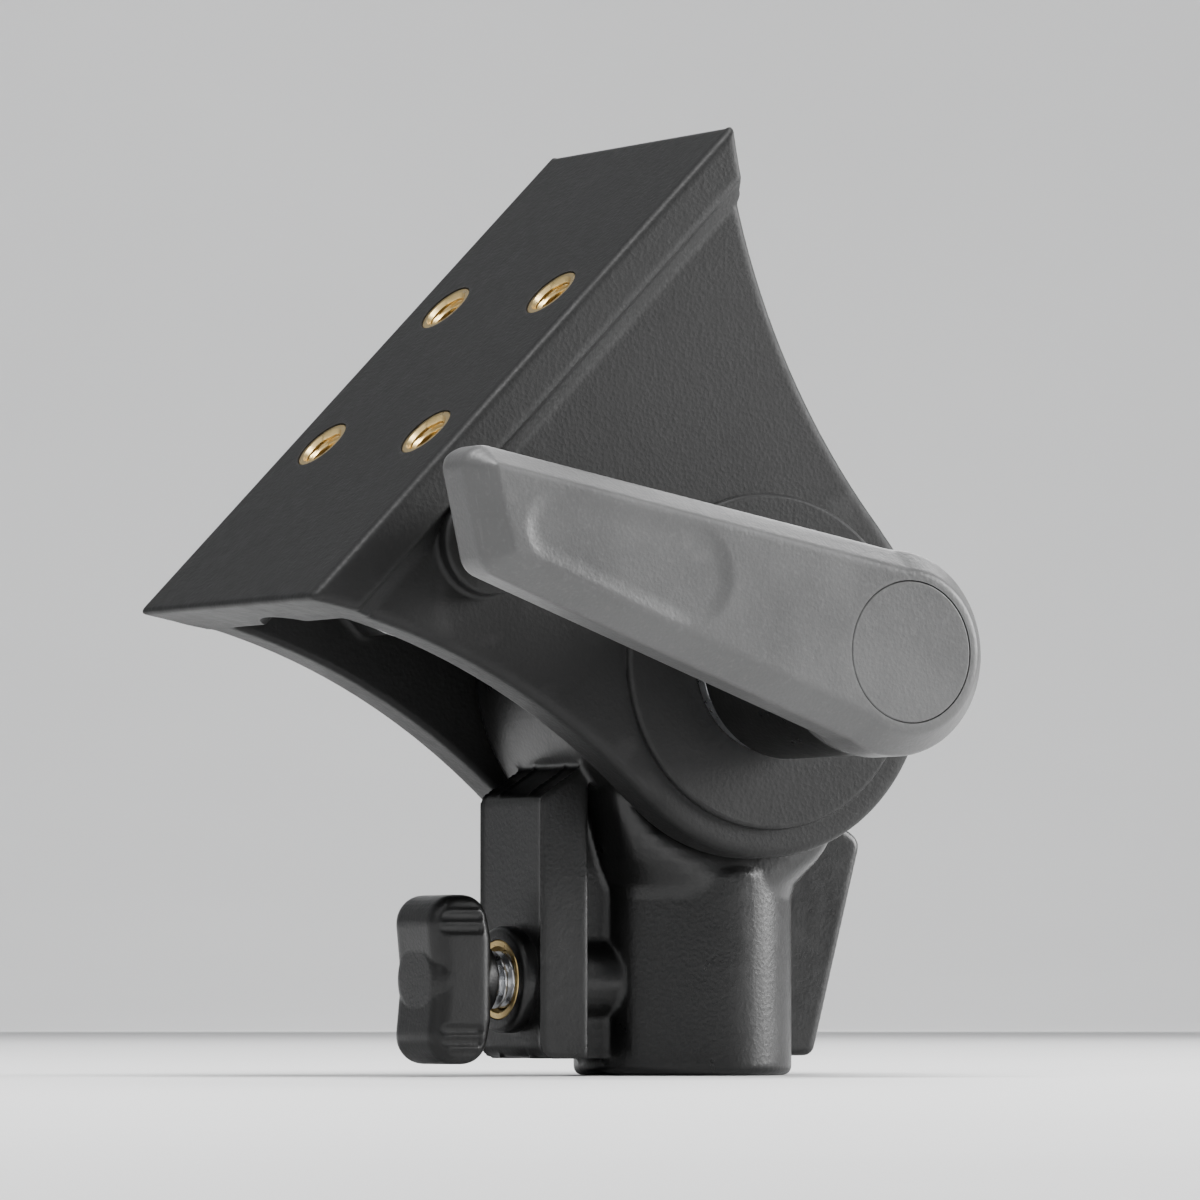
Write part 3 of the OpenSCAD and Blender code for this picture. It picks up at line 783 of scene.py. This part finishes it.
# ---------------------------------------------------------------- materials
class Finish:
    """A node material under construction."""

    def __init__(self, name):
        self.material = bpy.data.materials.new(name)
        self.material.use_nodes = True
        self.tree = self.material.node_tree
        self.shader = self.tree.nodes["Principled BSDF"]
        self.point = self.add("ShaderNodeTexCoord").outputs["Object"]

    def add(self, kind, **values):
        node = self.tree.nodes.new(kind)
        for key, value in values.items():
            if hasattr(node, key):
                setattr(node, key, value)
            else:
                self.put(node.inputs[key.replace("_", " ")], value)
        return node

    def put(self, socket, value):
        if isinstance(value, bpy.types.NodeSocket):
            self.tree.links.new(value, socket)
        else:
            socket.default_value = value

    def noise(self, scale, detail=3.0, roughness=0.5, vector=None):
        node = self.add("ShaderNodeTexNoise", Scale=scale, Detail=detail, Roughness=roughness)
        self.put(node.inputs["Vector"], vector or self.point)
        return node.outputs["Fac"]

    def cells(self, scale):
        node = self.add("ShaderNodeTexVoronoi", feature="F1", Scale=scale)
        self.put(node.inputs["Vector"], self.point)
        return node.outputs["Distance"]

    def remap(self, value, low, high, new_low, new_high):
        node = self.add("ShaderNodeMapRange")
        for socket, number in zip(node.inputs, (value, low, high, new_low, new_high)):
            self.put(socket, number)
        return node.outputs["Result"]

    def maths(self, operation, a, b=0.0):
        node = self.add("ShaderNodeMath", operation=operation)
        self.put(node.inputs[0], a)
        self.put(node.inputs[1], b)
        return node.outputs["Value"]

    def mix(self, share, first, second):
        node = self.add("ShaderNodeMix", data_type="RGBA")
        self.put(node.inputs["Factor"], share)
        colours = [socket for socket in node.inputs if socket.type == "RGBA"]
        self.put(colours[0], first)
        self.put(colours[1], second)
        return next(socket for socket in node.outputs if socket.type == "RGBA")

    def edges(self, radius):
        """About 1 on convex and concave edges, and 0 on flat and gently curved faces."""
        bevel = self.add("ShaderNodeBevel", samples=4, Radius=radius)
        plain = self.add("ShaderNodeNewGeometry").outputs["Normal"]
        dot = self.add("ShaderNodeVectorMath", operation="DOT_PRODUCT")
        self.put(dot.inputs[0], bevel.outputs["Normal"])
        self.put(dot.inputs[1], plain)
        return self.remap(dot.outputs["Value"], 0.995, 0.90, 0.0, 1.0)

    def bump(self, height, strength, distance, base=None):
        node = self.add("ShaderNodeBump", Strength=strength, Distance=distance)
        self.put(node.inputs["Height"], height)
        if base:
            self.put(node.inputs["Normal"], base)
        return node.outputs["Normal"]

    def set(self, **values):
        for key, value in values.items():
            self.put(self.shader.inputs[key.replace("_", " ")], value)
        return self.material


def grey(level, warm=0.0):
    return (level * (1 + warm), level, level * (1 - warm), 1)


def scratches(finish, scale, stretch, low, high):
    """Thin hairlines that run several ways, as a mask."""
    found = None
    for turn in (0.3, 1.7, 2.6):
        rotation = (turn, turn * 1.3, turn * 0.7)
        mapping = finish.add("ShaderNodeMapping", Rotation=rotation, Scale=(1, stretch, 1))
        finish.put(mapping.inputs["Vector"], finish.point)
        waves = finish.noise(scale, 2, 0.5, mapping.outputs["Vector"])
        lines = finish.remap(waves, low, high, 0.0, 1.0)
        found = lines if found is None else finish.maths("MAXIMUM", found, lines)
    return found


def plastic(name, level, grain, rough, wear, scuffs, specular=0.5):
    """Moulded plastic: a fine spark-eroded grain, cloudy gloss, rubbed edges and faint scuffs.

    grain is its scale and depth, and wear the level of bare plastic and its share on the edges.
    """
    f = Finish(name)
    grain_scale, grain_depth = grain
    wear_level, wear_share = wear
    clouds = f.noise(90, 4, 0.55)
    speckle = f.noise(1900, 2, 0.6)
    fine = f.noise(grain_scale, 3, 0.62)
    fine = f.maths("ADD", fine, f.maths("MULTIPLY", f.cells(grain_scale * 0.8), 0.7))
    shade = f.remap(clouds, 0.3, 0.7, 0.0, 1.0)
    base = f.mix(shade, grey(level * 0.86), grey(level * 1.12))
    base = f.mix(f.remap(speckle, 0.55, 0.8, 0.0, 0.35), base, grey(level * 1.7))
    patches = f.remap(f.noise(420, 4, 0.7), 0.42, 0.68, 0.1, 1.0)
    rub = f.maths("MULTIPLY", f.maths("MULTIPLY", f.edges(0.0007), patches), wear_share)
    scuffed = f.remap(f.noise(55, 2), 0.48, 0.66, 0.0, scuffs)
    scuffed = f.maths("MULTIPLY", scratches(f, 130, 14, 0.66, 0.74), scuffed)
    base = f.mix(f.maths("MAXIMUM", rub, scuffed), base, grey(wear_level))
    gloss = f.remap(clouds, 0.3, 0.7, rough - 0.05, rough + 0.06)
    gloss = f.maths("ADD", gloss, f.remap(f.noise(700, 3), 0.3, 0.7, -0.03, 0.03))
    gloss = f.maths("SUBTRACT", gloss, f.maths("MULTIPLY", rub, 0.12))
    return f.set(Base_Color=base, Roughness=gloss, Normal=f.bump(fine, 0.55, grain_depth),
                 Specular_IOR_Level=specular)


def scaled(colour, share):
    return tuple(c * share for c in colour[:3]) + (1,)


def metal(name, colour, rough, centre=None, axis_mask=None, ring_depth=0.00002):
    """Plated or turned metal, with fine tool rings about an axis where one is given.

    axis_mask is 1 in the directions across that axis, and 0 along it.
    """
    f = Finish(name)
    clouds = f.noise(140, 4, 0.6)
    base = f.mix(f.remap(clouds, 0.3, 0.7, 0.0, 1.0), scaled(colour, 0.88), colour)
    grime = f.remap(f.noise(380, 4, 0.7), 0.6, 0.78, 0.0, 0.55)
    base = f.mix(grime, base, scaled(colour, 0.45))
    gloss = f.remap(f.noise(900, 3), 0.3, 0.7, rough - 0.05, rough + 0.07)
    if centre is None:
        height = f.noise(5200, 3, 0.6)
    else:
        offset = f.add("ShaderNodeVectorMath", operation="SUBTRACT")
        f.put(offset.inputs[0], f.point)
        f.put(offset.inputs[1], centre)
        masked = f.add("ShaderNodeVectorMath", operation="MULTIPLY")
        f.put(masked.inputs[0], offset.outputs["Vector"])
        f.put(masked.inputs[1], axis_mask)
        length = f.add("ShaderNodeVectorMath", operation="LENGTH")
        f.put(length.inputs[0], masked.outputs["Vector"])
        along = f.add("ShaderNodeVectorMath", operation="SUBTRACT")
        f.put(along.inputs[0], offset.outputs["Vector"])
        f.put(along.inputs[1], masked.outputs["Vector"])
        reach = f.add("ShaderNodeVectorMath", operation="LENGTH")
        f.put(reach.inputs[0], along.outputs["Vector"])
        place = f.add("ShaderNodeCombineXYZ", X=length.outputs["Value"], Y=reach.outputs["Value"])
        height = f.noise(9000, 2, 0.7, place.outputs["Vector"])
    return f.set(Base_Color=base, Roughness=gloss, Metallic=1.0,
                 Normal=f.bump(height, 0.4, ring_depth))


ABOUT_Y = (1, 0, 1)
ABOUT_X = (0, 1, 1)
FORK_NYLON = plastic("black_nylon_matt", 0.006, grain=(2600, 0.00005), rough=0.56,
                     wear=(0.045, 0.5), scuffs=0.2, specular=0.32)
SOCKET_NYLON = plastic("black_nylon_satin", 0.004, grain=(2600, 0.00003), rough=0.33,
                       wear=(0.04, 0.5), scuffs=0.2, specular=0.42)
KNOB_PLASTIC = plastic("knob_plastic", 0.005, grain=(3400, 0.00003), rough=0.36,
                       wear=(0.045, 0.5), scuffs=0.2, specular=0.4)
GREY_PLASTIC = plastic("grey_plastic", 0.068, grain=(3000, 0.00004), rough=0.42,
                       wear=(0.22, 0.3), scuffs=0.18)
ACETAL = plastic("acetal", 0.62, grain=(4200, 0.00002), rough=0.38, wear=(0.7, 0.1), scuffs=0.1)
ZINC_GREY = (0.60, 0.61, 0.63, 1)
ZINC = metal("zinc_steel", ZINC_GREY, 0.30, tuple(PIVOT), ABOUT_Y)
ZINC_ROD = metal("zinc_rod", ZINC_GREY, 0.28, (0, 0, LOCK_Z), ABOUT_X)
NICKEL = metal("nickel", (0.66, 0.65, 0.62, 1), 0.22, tuple(THUMB_POS), ABOUT_Y, 0.00001)
ALUMINIUM = metal("aluminium_tube", (0.72, 0.72, 0.73, 1), 0.33)
BRASS = metal("brass", (0.66, 0.49, 0.22, 1), 0.3)


def lining():
    """Pressed fibre: short light strands in a dark binder."""
    f = Finish("friction_lining")
    strands = scratches(f, 900, 9, 0.58, 0.7)
    binder = f.mix(f.noise(1500, 3), grey(0.035, 0.1), grey(0.08, 0.12))
    base = f.mix(f.maths("MULTIPLY", strands, 0.7), binder, (0.22, 0.17, 0.12, 1))
    rough = f.remap(f.noise(600, 3), 0.3, 0.7, 0.7, 0.92)
    return f.set(Base_Color=base, Roughness=rough, Normal=f.bump(strands, 0.5, 0.00008))


LINING = lining()

# ---------------------------------------------------------------- pieces on their bodies
MADE = [
    (make_fork(), "head", "head_fork", "black_nylon", FORK_NYLON),
    (make_socket(), "socket", "stand_socket", "black_nylon", SOCKET_NYLON),
    (make_lever(), "lever", "tilt_lever", "grey_plastic", GREY_PLASTIC),
    (make_lever_skirt(), "lever", "tilt_lever", "black_nylon", SOCKET_NYLON),
    (make_lever_cap(), "lever", "lever_cap", "grey_plastic", GREY_PLASTIC),
    (make_knob(), "stand_knob", "lock_knob", "knob_plastic", KNOB_PLASTIC),
    (make_lock_screw(), "stand_knob", "lock_screw", "zinc_steel", ZINC_ROD),
    (make_thumb_screw(), "umbrella_thumb", "umbrella_screw", "nickel", NICKEL),
    (make_pad_inserts(), "head", "pad_inserts", "brass", BRASS),
    (make_sleeve(), "head", "umbrella_sleeve", "aluminium_tube", ALUMINIUM),
    (make_bolt_cap(), "head", "bolt_cap", "knob_plastic", KNOB_PLASTIC),
    (make_washer(), "head", "lever_washer", "zinc_steel", ZINC),
    (make_thumb_insert(), "head", "umbrella_insert", "brass", BRASS),
    (make_lock_insert(), "socket", "lock_insert", "brass", BRASS),
    (make_spring(), "lever_core", "lever_spring", "zinc_steel", ZINC),
]
for piece, body, node, slot, material in MADE:
    piece.data.materials.clear()
    piece.data.materials.append(material)
    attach(piece, body)
    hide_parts(node)
spring = MADE[-1][0]
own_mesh(spring)

KEPT = {
    "pivot_bush_near": ACETAL, "pivot_bush_far": ACETAL,
    "lock_shoe": ACETAL, "umbrella_shoe": ACETAL,
    "release_spring": ZINC, "pivot_bolt": ZINC, "lever_hub": ZINC, "lever_screw": ZINC,
    "friction_disc_near": LINING, "friction_disc_far": LINING,
}
for name, material in KEPT.items():
    node = frame["nodes"][name]
    node.data.materials.clear()
    node.data.materials.append(material)
    node.data.shade_smooth()
    node.data.set_sharp_from_angle(angle=math.radians(30))


# ---------------------------------------------------------------- floor, light and camera
def stage_material():
    f = Finish("pale_floor")
    base = f.mix(f.noise(6, 3), grey(0.74), grey(0.80))
    return f.set(Base_Color=base, Roughness=f.remap(f.noise(40, 3), 0.3, 0.7, 0.75, 0.9))


def make_floor():
    """A pale floor that sweeps up into a wall all round."""
    flat, bend, wall, sides = 1.6, 0.8, 1.5, 96
    profile = [(flat * k / 4, 0.0) for k in range(1, 5)]
    profile += arc(bend, -90, 0, 14, (flat, bend))[1:] + [(flat + bend, wall)]
    vertices = [(0, 0, 0)]
    vertices += [(*polar(r, 360 * k / sides), z) for r, z in profile for k in range(sides)]
    faces = [(0, 1 + k, 1 + (k + 1) % sides) for k in range(sides)]
    for i in range(len(profile) - 1):
        for k in range(sides):
            j = (k + 1) % sides
            a, b = 1 + i * sides, 1 + (i + 1) * sides
            faces.append((a + k, b + k, b + j, a + j))
    floor = build("studio_floor", vertices, faces, Matrix.Identity(4))
    floor.data.shade_smooth()
    floor.data.materials.append(stage_material())
    return floor


floor = make_floor()
floor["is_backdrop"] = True

AZIMUTH, ELEVATION = -32, -3
DISTANCE, LENS = 0.8, 232
LOW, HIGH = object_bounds()
CENTRE = (LOW + HIGH) / 2


def direction(azimuth, elevation):
    """From the object towards a camera or light at that azimuth and elevation."""
    a, e = math.radians(azimuth), math.radians(elevation)
    return Vector((math.sin(a) * math.cos(e), -math.cos(a) * math.cos(e), math.sin(e)))


def softbox(name, azimuth, elevation, distance, size, watts, facing=1):
    """A round soft light that faces the object, or away from it at -1."""
    data = bpy.data.lights.new(name, "AREA")
    data.shape = "DISK"
    data.size = size
    data.energy = watts
    light = bpy.data.objects.new(name, data)
    away = direction(azimuth, elevation)
    light.location = CENTRE + away * distance
    light.rotation_euler = (away * facing).to_track_quat("Z", "Y").to_euler()
    light.visible_camera = False
    bpy.context.scene.collection.objects.link(light)


# Azimuth, elevation, distance, size and watts.
softbox("key", AZIMUTH + 100, 15, 0.75, 0.42, 9)
softbox("fill", AZIMUTH - 30, 35, 0.9, 0.7, 1.2)
softbox("top", AZIMUTH + 5, 74, 0.8, 0.5, 12)
softbox("back", AZIMUTH + 165, 35, 0.9, 0.5, 4)
softbox("backdrop", AZIMUTH + 180, 20, 1.2, 0.6, 10, -1)

world = bpy.data.worlds.new("studio")
world.use_nodes = True
world.node_tree.nodes["Background"].inputs["Color"].default_value = (0.9, 0.92, 0.95, 1)
world.node_tree.nodes["Background"].inputs["Strength"].default_value = 0.4
bpy.context.scene.world = world

camera_data = bpy.data.cameras.new("camera")
camera_data.lens = LENS
camera_data.sensor_width = 36
camera = bpy.data.objects.new("camera", camera_data)
away = direction(AZIMUTH, ELEVATION)
camera.location = CENTRE + away * DISTANCE
camera.rotation_euler = away.to_track_quat("Z", "Y").to_euler()
bpy.context.scene.collection.objects.link(camera)
bpy.context.scene.camera = camera
